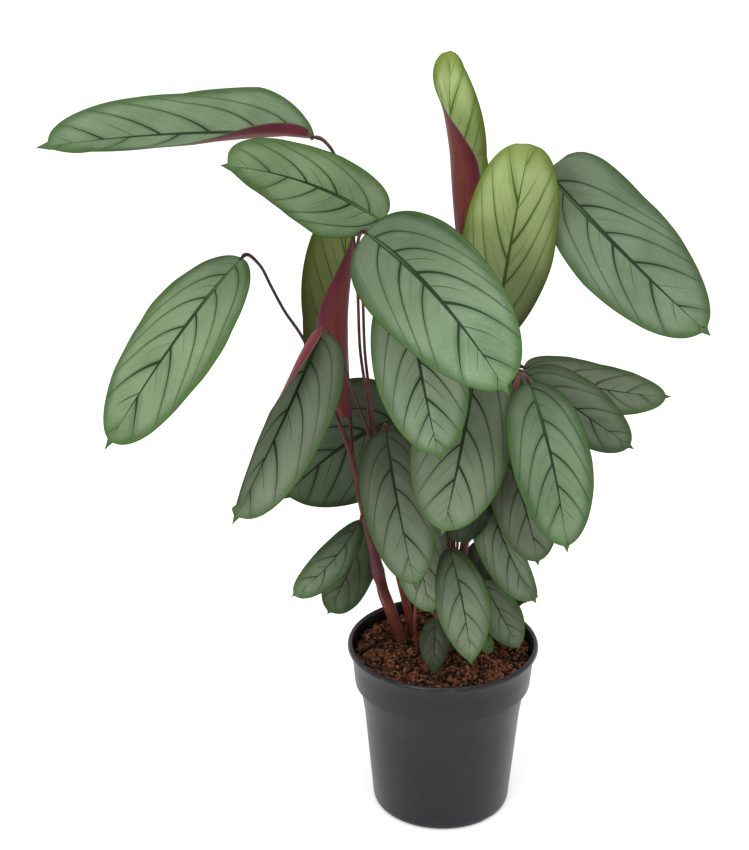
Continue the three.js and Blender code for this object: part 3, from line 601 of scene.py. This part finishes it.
# %% Paths of the shoots
SHOOTS = dict(
    shoot_left=[
        ("leaf_far_left", [-30, 20, 120, 5.5], [-36, 17, 150, 5.5], [-53, 15, 203, 4.6],
         [-58, 14, 222, 6.2], [-63, 12, 249, 4], [-73, 10, 293, 3], [-80, 8, 332, 2.6],
         [-94, 5, 376, 1.8], [-121, 2, 446, 1.4], [-136, 2.5, 470, 1.3], [-147, 3, 492, 1.3],
         [-155, 2.5, 509, 1.3]),
        ("", [-37, 24, 120, 1.8], [-44, 20, 160, 1.8], [-57, 17, 200, 1.6], [-60, 15, 226, 1.4]),
        ("leaf_left_low", [-67, 12, 268, 1.4], [-67, 10, 280, 1.3]),
        ("leaf_left_lowest", [-63, 12, 250, 1.4], [-62, 27, 263, 1.3]),
        ("young_leaf_left", [-79, 9, 318, 1.4], [-80, 14, 338, 1.3])],
    shoot_middle=[
        ("leaf_top_left", [-19, 28, 120, 4], [-25, 26, 150, 4], [-34, 21, 192, 3.6],
         [-44, 16, 240, 3.4], [-53, 10, 300, 3], [-60, 6, 343, 2.6], [-68, 4, 397, 1.4],
         [-73, 5, 434, 1.3], [-75, 7, 485, 1.3], [-78, 10, 529, 1.3], [-93, 14.5, 599, 1.3]),
        ("leaf_front_large", [-59, 6, 338, 1.8], [-65, -2, 397, 1.4], [-69, -1, 434, 1.3],
         [-71, 2, 485, 1.3], [-75, -7, 529, 1.3]),
        ("leaf_left_folded", [-59, 6, 335, 1.8], [-69, -1, 370, 1.4], [-80, -9, 405, 1.3],
         [-93, -15, 445, 1.3]),
        ("leaf_left_shaded", [-50, 12, 280, 1.8], [-38, 26, 315, 1.4], [-20, 42, 348, 1.3]),
        ("leaf_centre_left", [-57, 7, 330, 1.8], [-55, 4, 362, 1.4])],
    shoot_centre=[
        ("leaf_front_middle", [2, 12, 120, 4.6], [2, 12, 150, 4.6], [4, 6, 200, 4.4],
         [6, 1, 255, 4], [2, 8, 310, 3.2], [-2, 16, 370, 2.6], [-10, 20, 430, 1.8],
         [-24, 12, 492, 1.4], [-33, 2, 517, 1.3]),
        ("leaf_upper_left", [-3, 17, 378, 1.6], [-14, 26, 450, 1.4], [-26, 18, 525, 1.3]),
        ("young_leaf_top", [4, 5, 285, 2.8], [10, 30, 360, 2], [16, 50, 430, 1.6]),
        ("leaf_front_lower", [5, 4, 280, 2.6], [14, 12, 350, 1.8], [23, 5, 420, 1.4],
         [24.5, -1.5, 445, 1.3]),
        ("leaf_low_front", [6, 2, 236, 1.6], [11, -8, 256, 1.3], [8, -20, 276, 1.3]),
        ("leaf_back_top", [11, 34, 372, 1.6], [0, 44, 430, 1.4], [-12, 44, 480, 1.3]),
        ("leaf_back_left", [1, 10, 325, 1.6], [-4, 38, 350, 1.4], [-18, 62, 378, 1.3]),
        ("leaf_back_middle", [4, 4, 275, 1.8], [0, 20, 305, 1.4]),
        ("leaf_back_low_left", [4, 6, 205, 1.8], [-14, 28, 245, 1.4])],
    shoot_right=[
        ("leaf_right_front", [16, 10, 120, 4.4], [16, 10, 150, 4.4], [17, 4, 200, 4.2],
         [17, 0, 250, 4], [30, 6, 310, 3], [44, 10, 360, 2.6], [52, 8, 391, 2], [59, 4, 412, 1.5]),
        ("leaf_right_lower", [48, 9, 375, 1.6], [53, 16, 405, 1.3]),
        ("leaf_right_upper", [46, 10, 366, 1.6], [52, 20, 400, 1.3]),
        ("leaf_top_right", [38, 8, 340, 2], [56, 40, 420, 1.8], [66, 58, 500, 1.6],
         [72, 62, 557, 1.4], [76, 60, 574, 1.3]),
        ("young_leaf_pale", [28, 6, 302, 2], [36, 10, 370, 1.6]),
        ("leaf_right_behind", [38, 8, 338, 1.6], [41, 7, 352, 1.3]),
        ("leaf_right_low", [27, 5, 296, 1.6], [29, 3, 318, 1.3]),
        ("leaf_centre_shaded", [18, 1, 262, 1.6], [12, -4, 300, 1.3], [16, -10, 322, 1.3],
         [25, -14, 334, 1.3]),
        ("leaf_low_shaded", [17, 2, 232, 1.6], [22, 14, 254, 1.3]),
        ("leaf_back_right", [34, 7, 322, 1.6], [28, 26, 365, 1.4]),
        ("leaf_back_low_right", [16, 9, 168, 1.8], [17, 24, 205, 1.4], [20, 30, 238, 1.3])],
    stalk_centre_low=[
        ("leaf_centre_low", [-22, -4, 120, 2], [-23, -7, 150, 2], [-25, -8, 187, 1.6],
         [-21, -3, 240, 1.4], [-10, 3, 280, 1.3], [-6.3, 4.2, 296, 1.3], [-6, 1.4, 304, 1.3])],
    stalk_low_right=[
        ("leaf_low_right", [34, -2, 120, 1.8], [34, -2, 150, 1.8], [32, 1, 192, 1.4],
         [32.5, 3, 216, 1.3]),
        ("leaf_low_tiny", [35, -2, 160, 1.4], [29.5, -2.5, 188, 1.3])],
    stalk_low_dark=[
        ("leaf_low_dark", [-10, -20, 120, 1.6], [-10, -20, 150, 1.6], [-8, -20.2, 199, 1.3],
         [-7.1, -24, 204.4, 1.3])])
print("stalks:", sum(len(stalks) for stalks in SHOOTS.values()))

# %% Stalk finish
def stalk_finish():
    finish = Finish("red stalk", Specular_IOR_Level=0.2)
    spot = finish.place()
    x, y, z = spot.parts()
    grain = finish.join(x * 900.0, y * 900.0, z * 60.0).noise(1.0, 3.0)
    blotch = spot.noise(60.0, 3.0)
    uneven = blotch.step(0.3, 0.7)
    cane = uneven.mix(srgb(70, 30, 22), srgb(108, 52, 38))
    stalk = uneven.mix(srgb(44, 22, 20), srgb(84, 40, 38))
    far_left = x.step(-0.112, -0.126) * 0.7  # the stalk there is darker
    sheath = abs(z - 0.232).step(0.022, 0.01) * blotch.step(0.3, 0.55)
    colour = painted(
        finish.attribute("redness").mix(cane, far_left.mix(stalk, srgb(36, 24, 24))),
        (grain.step(0.5, 0.8) * 0.35, srgb(128, 84, 70)),
        (sheath * 0.6, srgb(78, 34, 58)),
        (z.step(0.19, 0.145) * blotch.step(0.3, 0.6) * 0.6, srgb(54, 32, 22)))
    return finish.done(colour, grain, 0.3, 0.0005, roughness=0.32 + 0.2 * grain)


red_stalk = stalk_finish()
print("stalk finish:", red_stalk.name)

# %% A smooth path through the points, with a swollen hinge at its end
SPACING = 2.5
CANE_TOP, FADE = 200, 130  # where the brown of the canes turns into the dark red of the stalks


def blend(k, start, end, first, second):
    return (end - k) / (end - start) * first + (k - start) / (end - start) * second


def smooth_path(points, hinged):
    """Samples of a centripetal curve: x, y, z, radius, redness."""
    p = np.array(points, float)
    q = np.vstack([2 * p[0] - p[1], p, 2 * p[-1] - p[-2]])
    out = []
    for i in range(1, len(q) - 2):
        gaps = np.sqrt(norm(np.diff(q[i - 1:i + 3, :3], axis=0), axis=1)) + 1e-6
        _, k1, k2, _ = knots = 0, gaps[0], gaps[0] + gaps[1], gaps.sum()
        steps = max(2, int(norm(q[i + 1, :3] - q[i, :3]) / SPACING))
        for k in np.linspace(k1, k2, steps, endpoint=False):
            near = [blend(k, *knots[j:j + 2], *q[i + j - 1:i + j + 1]) for j in range(3)]
            both = [blend(k, *knots[j:j + 3:2], *near[j:j + 2]) for j in range(2)]
            point = blend(k, k1, k2, *both)
            point[3] = q[i, 3] + (q[i + 1, 3] - q[i, 3]) * (k - k1) / (k2 - k1)
            out.append(point)
    path = np.array(out + [p[-1]])
    run = np.concatenate([[0], np.cumsum(norm(np.diff(path[:, :3], axis=0), axis=1))])
    redness = np.clip((path[:, 2] - CANE_TOP) / FADE, 0, 1)
    if hinged:
        path[:, 3] += 0.3 * np.exp(-((run[-1] - run - 6.0) / 2.2) ** 2)
    return np.column_stack([path, redness])


def stalk_points(points, to):
    """A stalk bends over in a small arch, swells into the hinge and runs into its blade."""
    if not to:
        return points, False
    base, slope = midrib_curve(LEAVES[to], np.array([0.0]))
    base, back = base[0], -slope[0]
    hinge = base + back * 3.0
    arrival = hinge - np.array(points[-1][:3])
    arch = hinge + back * 2.6 - arrival / norm(arrival) * 2.0
    end = [(arch, 1.6), (hinge, 1.6), (base + back * 0.75, 1.35), (base - back * 3.0, 0.7)]
    return points + [[*place, radius] for place, radius in end], True

# %% Opening, closing and running a Geometry Nodes tree
def open_tree(name, result, inputs):
    """A tree with named inputs, and their values."""
    tree = bpy.data.node_groups.new(name, "GeometryNodeTree")
    for label, kind in inputs.items():
        tree.interface.new_socket(label, in_out="INPUT", socket_type="NodeSocket" + kind)
    tree.interface.new_socket(result, in_out="OUTPUT", socket_type="NodeSocketGeometry")
    make = NodeTree(tree)
    given = tree.nodes.new("NodeGroupInput")
    return make, [Value(make, socket) for socket in given.outputs[:len(inputs)]]


def close_tree(make, made, finish):
    made = make.add("GeometryNodeRealizeInstances", {"Geometry": made})
    made = make.add("GeometryNodeSetMaterial", {"Geometry": made, "Material": finish})
    done = make.tree.nodes.new("NodeGroupOutput")
    make.tree.links.new(made.socket, done.inputs[0])
    return make.tree


def run_tree(source, tree, inputs, name):
    """Runs a tree on an object and returns the result as a plain mesh object."""
    modifier = source.modifiers.new("tree", "NODES")
    modifier.node_group = tree
    for item in tree.interface.items_tree:
        if item.in_out == "INPUT" and item.name in inputs:
            modifier[item.identifier] = inputs[item.name]
    mesh = shaped(source)
    source.modifiers.remove(modifier)
    bpy.data.objects.remove(source)
    return new_object(name, mesh)


print("tree helpers ready")

# %% The tube tree
def tube_tree():
    make, (paths, sides, finish) = open_tree(
        "stalk tube", "Tubes", {"Paths": "Geometry", "Sides": "Int", "Finish": "Material"})
    radius = make.add("GeometryNodeInputNamedAttribute", {"Name": "radius_here"})
    curves = make.add("GeometryNodeMeshToCurve", {"Mesh": paths})
    ring = make.add("GeometryNodeCurvePrimitiveCircle", {"Resolution": sides, "Radius": 1.0})
    tubes = make.add("GeometryNodeCurveToMesh", {"Curve": curves, "Profile Curve": ring,
                                                 "Scale": radius, "Fill Caps": True})
    return close_tree(make, tubes, finish)


tube = tube_tree()
print("tube tree nodes:", len(tube.nodes))

# %% Sweep every shoot
TUBE_SIDES = 14


def build_shoot(name, stalks):
    points, edges, radii, redness = [], [], [], []
    for to, *given in stalks:
        path = smooth_path(*stalk_points(given, to))
        start = len(points)
        points += (path[:, :3] * MM).tolist()
        radii += (path[:, 3] * MM).tolist()
        redness += path[:, 4].tolist()
        edges += [(i, i + 1) for i in range(start, len(points) - 1)]
    source = mesh_object(name, points, [], edges)
    for attribute, values in (("radius_here", radii), ("redness", redness)):
        layer = source.data.attributes.new(attribute, "FLOAT", "POINT")
        layer.data.foreach_set("value", values)
    shoot = run_tree(source, tube, {"Sides": TUBE_SIDES, "Finish": red_stalk}, name + "_stalks")
    shoot.data.shade_smooth()
    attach(shoot, "root")
    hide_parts(name)
    return len(shoot.data.polygons)


print("stalk faces:", [build_shoot(name, stalks) for name, stalks in SHOOTS.items()])

# %% [markdown]
# ## Pot
# The pot is one thin moulding, round all the way, so a profile turned about the axis gives it
# exactly: a rounded foot, a slightly tapered wall, a shoulder, the wider collar and the rolled
# lip. The three drain notches are then cut out of the foot with a Boolean.

# %% Turn a profile about the axis
def turned(name, profile, segments):
    """A closed body from points of radius and height that start and end on the axis."""
    inner = profile[1:-1]
    angles = np.linspace(0, 2 * pi, segments, endpoint=False)
    points = [(0, 0, profile[0][1] * MM), (0, 0, profile[-1][1] * MM)]
    for r, z in inner:
        points += [(r * MM * cos(a), r * MM * sin(a), z * MM) for a in angles]
    faces, rings = [], range(2, len(points), segments)
    for i in range(segments):
        j = (i + 1) % segments
        faces.append((0, 2 + j, 2 + i))
        faces += [(a + i, a + j, b + j, b + i) for a, b in zip(rings, rings[1:])]
        faces.append((1, rings[-1] + i, rings[-1] + j))
    return mesh_object(name, points, faces)


POT_OUTSIDE = [
    (0, 0.9), (50, 0.9), (52.5, 0), (55.6, 0), (58.2, 0.5), (60.1, 1.7), (61.3, 3.6), (61.8, 5.6),
    (62.1, 8), (66.3, 54), (69.5, 89), (70.8, 99.2), (71.2, 101.2), (72.4, 109.4), (74.05, 118),
    (74.3, 119.3), (74.7, 119.9), (77.5, 121.1), (78.3, 121.7), (78.55, 122.8), (78.7, 124.4),
    (79.3, 131), (80.3, 142), (81.3, 153.2), (81.7, 154), (83.4, 154.4), (84.5, 155), (85, 156.2),
    (84.9, 157.7), (84.3, 159.1), (83.3, 159.9), (82.6, 160)]
POT_INSIDE = [
    (81.8, 159.7), (81, 158.8), (80.5, 157), (80.1, 153), (79, 142), (77.4, 124.4), (76.6, 122.8),
    (73.4, 121.1), (72.9, 119.6), (70.2, 101.6), (69.7, 100.2), (68.2, 89), (65, 54), (60.8, 8),
    (60, 5), (57, 3.2), (0, 3)]
pot = turned("pot_moulding", POT_OUTSIDE + POT_INSIDE, segments=144)
print("pot profile points:", len(POT_OUTSIDE + POT_INSIDE))

# %% Cut the drain notches
FIRST_NOTCH, NOTCHES = -47, 3
NOTCH_DEPTHS = (58.2, 66.5)  # from inside the wall to outside it


def drain_cutter(angle):
    """A notch with rounded upper corners, seen from outside the foot."""
    arch = [(-5.5, -3), (5.5, -3), (5.5, 2.2), (5.0, 3.4), (3.8, 4), (-3.8, 4), (-5.0, 3.4),
            (-5.5, 2.2)]
    x, y = cos(radians(angle)), sin(radians(angle))
    points = [((depth * x - across * y) * MM, (depth * y + across * x) * MM, z * MM)
              for depth in NOTCH_DEPTHS for across, z in arch]
    n = len(arch)
    faces = [tuple(range(n - 1, -1, -1)), tuple(range(n, 2 * n))]
    faces += [(i, (i + 1) % n, n + (i + 1) % n, n + i) for i in range(n)]
    return mesh_object("notch", points, faces)


cutters = [drain_cutter(FIRST_NOTCH + 360 / NOTCHES * i) for i in range(NOTCHES)]
for cutter in cutters:
    cut = pot.modifiers.new("notch", "BOOLEAN")
    cut.operation = "DIFFERENCE"
    cut.solver = "EXACT"
    cut.object = cutter
cut_mesh = shaped(pot)
pot.modifiers.clear()
pot.data = cut_mesh
for cutter in cutters:
    bpy.data.objects.remove(cutter)
pot.data.shade_smooth()
pot.data.set_sharp_from_angle(angle=radians(38))
print("pot faces:", len(pot.data.polygons))

# %% Satin charcoal plastic
RING_LINES = (0.0925, 0.1, 0.1035)  # faint lines of the mould under the collar, in metres


def pot_finish():
    finish = Finish("charcoal plastic", Specular_IOR_Level=0.3)
    spot = finish.place()
    _, _, z = spot.parts()
    cloud, grain = spot.noise(18.0, 4.0), spot.noise(1500.0, 2.0)
    rubbed = z.step(0.148, 0.158) * 0.5 + z.step(0.02, 0.0) * 0.4
    dusty = spot.noise(160.0, 4.0, 0.65).step(0.52, 0.78) * (0.12 + rubbed)
    lines = [(abs(z - height).step(0.0006, 0.0001) * 0.5, srgb(8, 7, 9)) for height in RING_LINES]
    colour = painted(cloud.step(0.3, 0.75).mix(srgb(15, 12, 17), srgb(21, 17, 23)),
                     (dusty, srgb(78, 70, 66)), *lines)
    return finish.done(colour, grain * 0.5 + cloud * 0.4, 0.18, 0.0006,
                       roughness=0.3 + 0.12 * cloud + 0.15 * dusty)


pot.data.materials.clear()
pot.data.materials.append(pot_finish())
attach(pot, "root")
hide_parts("pot")
print("pot finish:", pot.data.materials[0].name)

# %% [markdown]
# ## Soil
# The filling is moist coir: a lumpy bed, thousands of crumbs and short fibres lying on it. The bed
# is a disc raised by noise. The crumbs and fibres are scattered by one Geometry Nodes tree, which
# stands small pieces on random points of the bed and stores a random tone for each.

# %% The bed
FILLED_TO = 149
LUMPS = ((2.6, 17, 3.1), (3.4, 7, 8.4), (1.2, 3.2, 5.7))  # height, size and slice of the noise
BELOW = ((76.9, 124.5), (72.5, 121.4), (69.5, 100), (60.2, 9), (55, 3.6))  # inside the pot's wall


def soil_height(x, y):
    """Height of the soil in millimetres, heaped a little at the back left, lower at the wall."""
    lumps = sum(high * noise.noise(Vector((x / wide, y / wide, z))) for high, wide, z in LUMPS)
    mound = 3.5 * exp(-((x + 52) ** 2 + (y - 30) ** 2) / 900)
    return FILLED_TO + lumps + mound - 2.2 * max(0, (hypot(x, y) - 68) / 12) ** 2


def soil_bed(name, edge, top_only, rings=52, segments=150):
    angles = [2 * pi * i / segments for i in range(segments)]
    points = [(0, 0, soil_height(0, 0) * MM)]
    for k in range(1, rings + 1):
        r = edge * k / rings
        for x, y in [(r * cos(a), r * sin(a)) for a in angles]:
            points.append((x * MM, y * MM, soil_height(x, y) * MM))
    for r, z in () if top_only else BELOW:
        points += [(r * MM * cos(a), r * MM * sin(a), z * MM) for a in angles]
    starts = range(1, len(points), segments)
    faces = [(0, 1 + i, 1 + (i + 1) % segments) for i in range(segments)]
    for a, b in zip(starts, starts[1:]):
        faces += [(a + i, b + i, b + (i + 1) % segments, a + (i + 1) % segments)
                  for i in range(segments)]
    if not top_only:
        faces.append(tuple(starts[-1] + i for i in reversed(range(segments))))
    return mesh_object(name, points, faces)


print("soil height in the middle:", round(soil_height(0, 0), 1), "mm")

# %% Soil finishes
def crumb_finish(name, dark, mid, light, rough):
    finish = Finish(name, Roughness=rough, Specular_IOR_Level=0.1)
    tone, spot = finish.attribute("tone"), finish.place()
    patch, speck = spot.noise(72.0, 4.0, 0.6), spot.noise(1100.0, 4.0, 0.75)
    colour = painted(
        (patch + 0.22 * tone).step(0.54, 0.74).mix(dark, mid),
        ((speck + 0.35 * tone).step(0.6, 0.95) * 0.8, light),
        (speck.step(0.5, 0.36) * 0.6, srgb(26, 14, 9)))
    return finish.done(colour, speck, 1.0, 0.002)


coir = crumb_finish("coir crumbs", dark=srgb(30, 17, 12), mid=srgb(132, 69, 43),
                    light=srgb(166, 124, 92), rough=0.95)
fibre_finish = crumb_finish("coir fibres", dark=srgb(52, 28, 18), mid=srgb(116, 74, 48),
                            light=srgb(190, 158, 118), rough=0.85)
bed = soil_bed("soil_bed", edge=79.1, top_only=False)
bed.data.materials.append(coir)
bed.data.shade_smooth()
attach(bed, "root")
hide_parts("soil")
print("soil bed faces:", len(bed.data.polygons))

# %% Small pieces to scatter
def crumb(seed):
    """An irregular flat lump about 1 mm across, from the 12 corners and 20 faces of an
    icosahedron, each corner drawn in or out by chance."""
    draw = random.Random(seed)
    golden = (1 + 5 ** 0.5) / 2
    pairs = [(short, long) for long in (golden, -golden) for short in (-1, 1)]
    raw = [(a, b, 0) for a, b in pairs] + [(0, a, b) for a, b in pairs]
    raw += [(b, 0, a) for a, b in pairs]
    points = [Vector(p).normalized() * 0.5 * MM * draw.uniform(0.6, 1.15) for p in raw]
    slim = draw.uniform(0.35, 0.9)
    points = [Vector((p.x * 1.25, p.y * slim, p.z * 0.6)) for p in points]
    faces = [(0, 11, 5), (0, 5, 1), (0, 1, 7), (0, 7, 10), (0, 10, 11), (1, 5, 9), (5, 11, 4),
             (11, 10, 2), (10, 7, 6), (7, 1, 8), (3, 9, 4), (3, 4, 2), (3, 2, 6), (3, 6, 8),
             (3, 8, 9), (4, 9, 5), (2, 4, 11), (6, 2, 10), (8, 6, 7), (9, 8, 1)]
    return mesh_object("crumb", [tuple(p) for p in points], faces, linked=False)


def fibre(seed, length, radius, curl):
    """A bent thread of three sides that lies along X."""
    draw = random.Random(seed)
    steps, points, faces = 7, [], []
    heading, x, y = 0.0, 0.0, 0.0
    for k in range(steps + 1):
        r = radius * (0.35 + 0.65 * sin(pi * (k + 0.6) / (steps + 1.2)))
        lift = 0.12 * length * sin(pi * k / steps)
        for s in range(3):
            a = 2 * pi * s / 3
            points.append(((x - sin(heading) * r * cos(a)) * MM,
                           (y + cos(heading) * r * cos(a)) * MM,
                           (lift + r * sin(a)) * MM))
        heading += curl * draw.uniform(0.5, 1.5)
        x += length / steps * cos(heading)
        y += length / steps * sin(heading)
    for k in range(steps):
        for s in range(3):
            a, b = k * 3 + s, k * 3 + (s + 1) % 3
            faces.append((a, b, b + 3, a + 3))
    faces += [(2, 1, 0), (steps * 3, steps * 3 + 1, steps * 3 + 2)]
    return mesh_object("fibre", points, faces, linked=False)


def collected(name, pieces):
    group = bpy.data.collections.new(name)
    for piece in pieces:
        group.objects.link(piece)
    return group


CRUMB_SHAPES, FIBRE_CURLS = 8, (0.1, -0.2, 0.35, 0.6)
crumbs = collected("crumbs", [crumb(i) for i in range(CRUMB_SHAPES)])
fibres = collected("fibres", [fibre(i, length=7, radius=0.13, curl=curl)
                              for i, curl in enumerate(FIBRE_CURLS)])

# %% The scatter tree
def scatter_tree():
    make, (ground, pieces, density, low, high, tilt, seed, finish) = open_tree(
        "scatter", "Scattered", {
            "Ground": "Geometry", "Pieces": "Collection", "Per square metre": "Float",
            "Smallest": "Float", "Largest": "Float", "Tilt": "Float", "Seed": "Int",
            "Finish": "Material"})

    def chance(offset):
        """A draw from 0 to 1 for each point."""
        return make.add("FunctionNodeRandomValue", {2: 0.0, 3: 1.0, "Seed": seed + offset}, 1)

    points = make.add("GeometryNodeDistributePointsOnFaces",
                      {"Mesh": ground, "Density": density, "Seed": seed})
    chosen = make.add("GeometryNodeCollectionInfo", {
        "Collection": pieces, "Separate Children": True, "Reset Children": True})
    turn = make.add("FunctionNodeRandomValue", {
        0: (-1.0, -1.0, -3.2), 1: (1.0, 1.0, 3.2), "ID": make.add("GeometryNodeInputIndex"),
        "Seed": seed}, data_type="FLOAT_VECTOR")
    turn = make.add("ShaderNodeVectorMath", {0: turn, 1: make.join(tilt, tilt, 1.0)},
                    operation="MULTIPLY")
    size = low + (high - low) * chance(7) ** 3.0
    placed = make.add("GeometryNodeInstanceOnPoints", {
        "Points": points, "Instance": chosen, "Pick Instance": True, "Rotation": turn,
        "Scale": make.join(size, size, size)})
    placed = make.add("GeometryNodeStoreNamedAttribute", {
        "Geometry": placed, "Name": "tone", "Value": chance(3)}, domain="INSTANCE")
    return close_tree(make, placed, finish)


scatter = scatter_tree()
print("scatter tree nodes:", len(scatter.nodes))

# %% Scatter crumbs and fibres over the bed
def scattered(name, edge, inputs):
    piece = run_tree(soil_bed(name + "_ground", edge, True), scatter, inputs, name)
    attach(piece, "root")
    return len(piece.data.polygons)


faces = scattered("soil_crumbs", 77.0, {
    "Pieces": crumbs, "Per square metre": 420000.0, "Smallest": 0.8, "Largest": 7.0,
    "Tilt": 1.0, "Seed": 4, "Finish": coir})
print("crumb faces:", faces)
faces = scattered("soil_fibres", 66.0, {
    "Pieces": fibres, "Per square metre": 150000.0, "Smallest": 0.3, "Largest": 2.2,
    "Tilt": 0.25, "Seed": 9, "Finish": fibre_finish})
print("fibre faces:", faces)

# %% [markdown]
# ## Stage, light and camera
# The plant stands on a plain white floor under one even, bright sky with a broad soft lamp above
# and in front, as in a light tent. The camera stands a little above the leaves and looks down at
# about 23 degrees.

# %% Floor
FAR = 6
WHITE = (1.0, 1.0, 1.0, 1.0)
floor = mesh_object("floor", [(-FAR, -FAR, 0), (FAR, -FAR, 0), (FAR, FAR, 0), (-FAR, FAR, 0)],
                    [(0, 1, 2, 3)])
floor.data.materials.append(Finish("white floor", Base_Color=(0.8, 0.8, 0.8, 1.0), Roughness=0.9,
                                   Emission_Color=WHITE, Emission_Strength=0.34).material)

# %% Sky and lamps
scene.view_settings.view_transform = "Standard"
world = bpy.data.worlds.new("tent")
world.use_nodes = True
sky = world.node_tree.nodes["Background"].inputs
sky["Color"].default_value = WHITE
sky["Strength"].default_value = 1.0
scene.world = world


def lamp(name, place, aim, size, watts):
    light = bpy.data.lights.new(name, "AREA")
    light.shape = "DISK"
    light.size = size
    light.energy = watts
    holder = new_object(name, light)
    holder.location = place
    holder.rotation_euler = (Vector(aim) - Vector(place)).to_track_quat("-Z", "Y").to_euler()


lamp("overhead", place=(0.2, -0.7, 2.3), aim=(0, 0, 0.3), size=1.2, watts=18)
lamp("front_left", place=(-1.3, -2.2, 1.5), aim=(0, 0, 0.35), size=1.0, watts=26)
print("lamps:", [light.name for light in bpy.data.lights])

# %% Camera
LOOKS_DOWN = 22.6
camera = bpy.data.cameras.new("camera")
camera.lens = 82.46
camera.sensor_width = 36
eye = new_object("camera", camera)
eye.location = (-0.061, -1.530, 1.005)
eye.rotation_euler = (radians(90 - LOOKS_DOWN), 0, 0)
scene.camera = eye
print("camera looks down by", LOOKS_DOWN, "degrees")
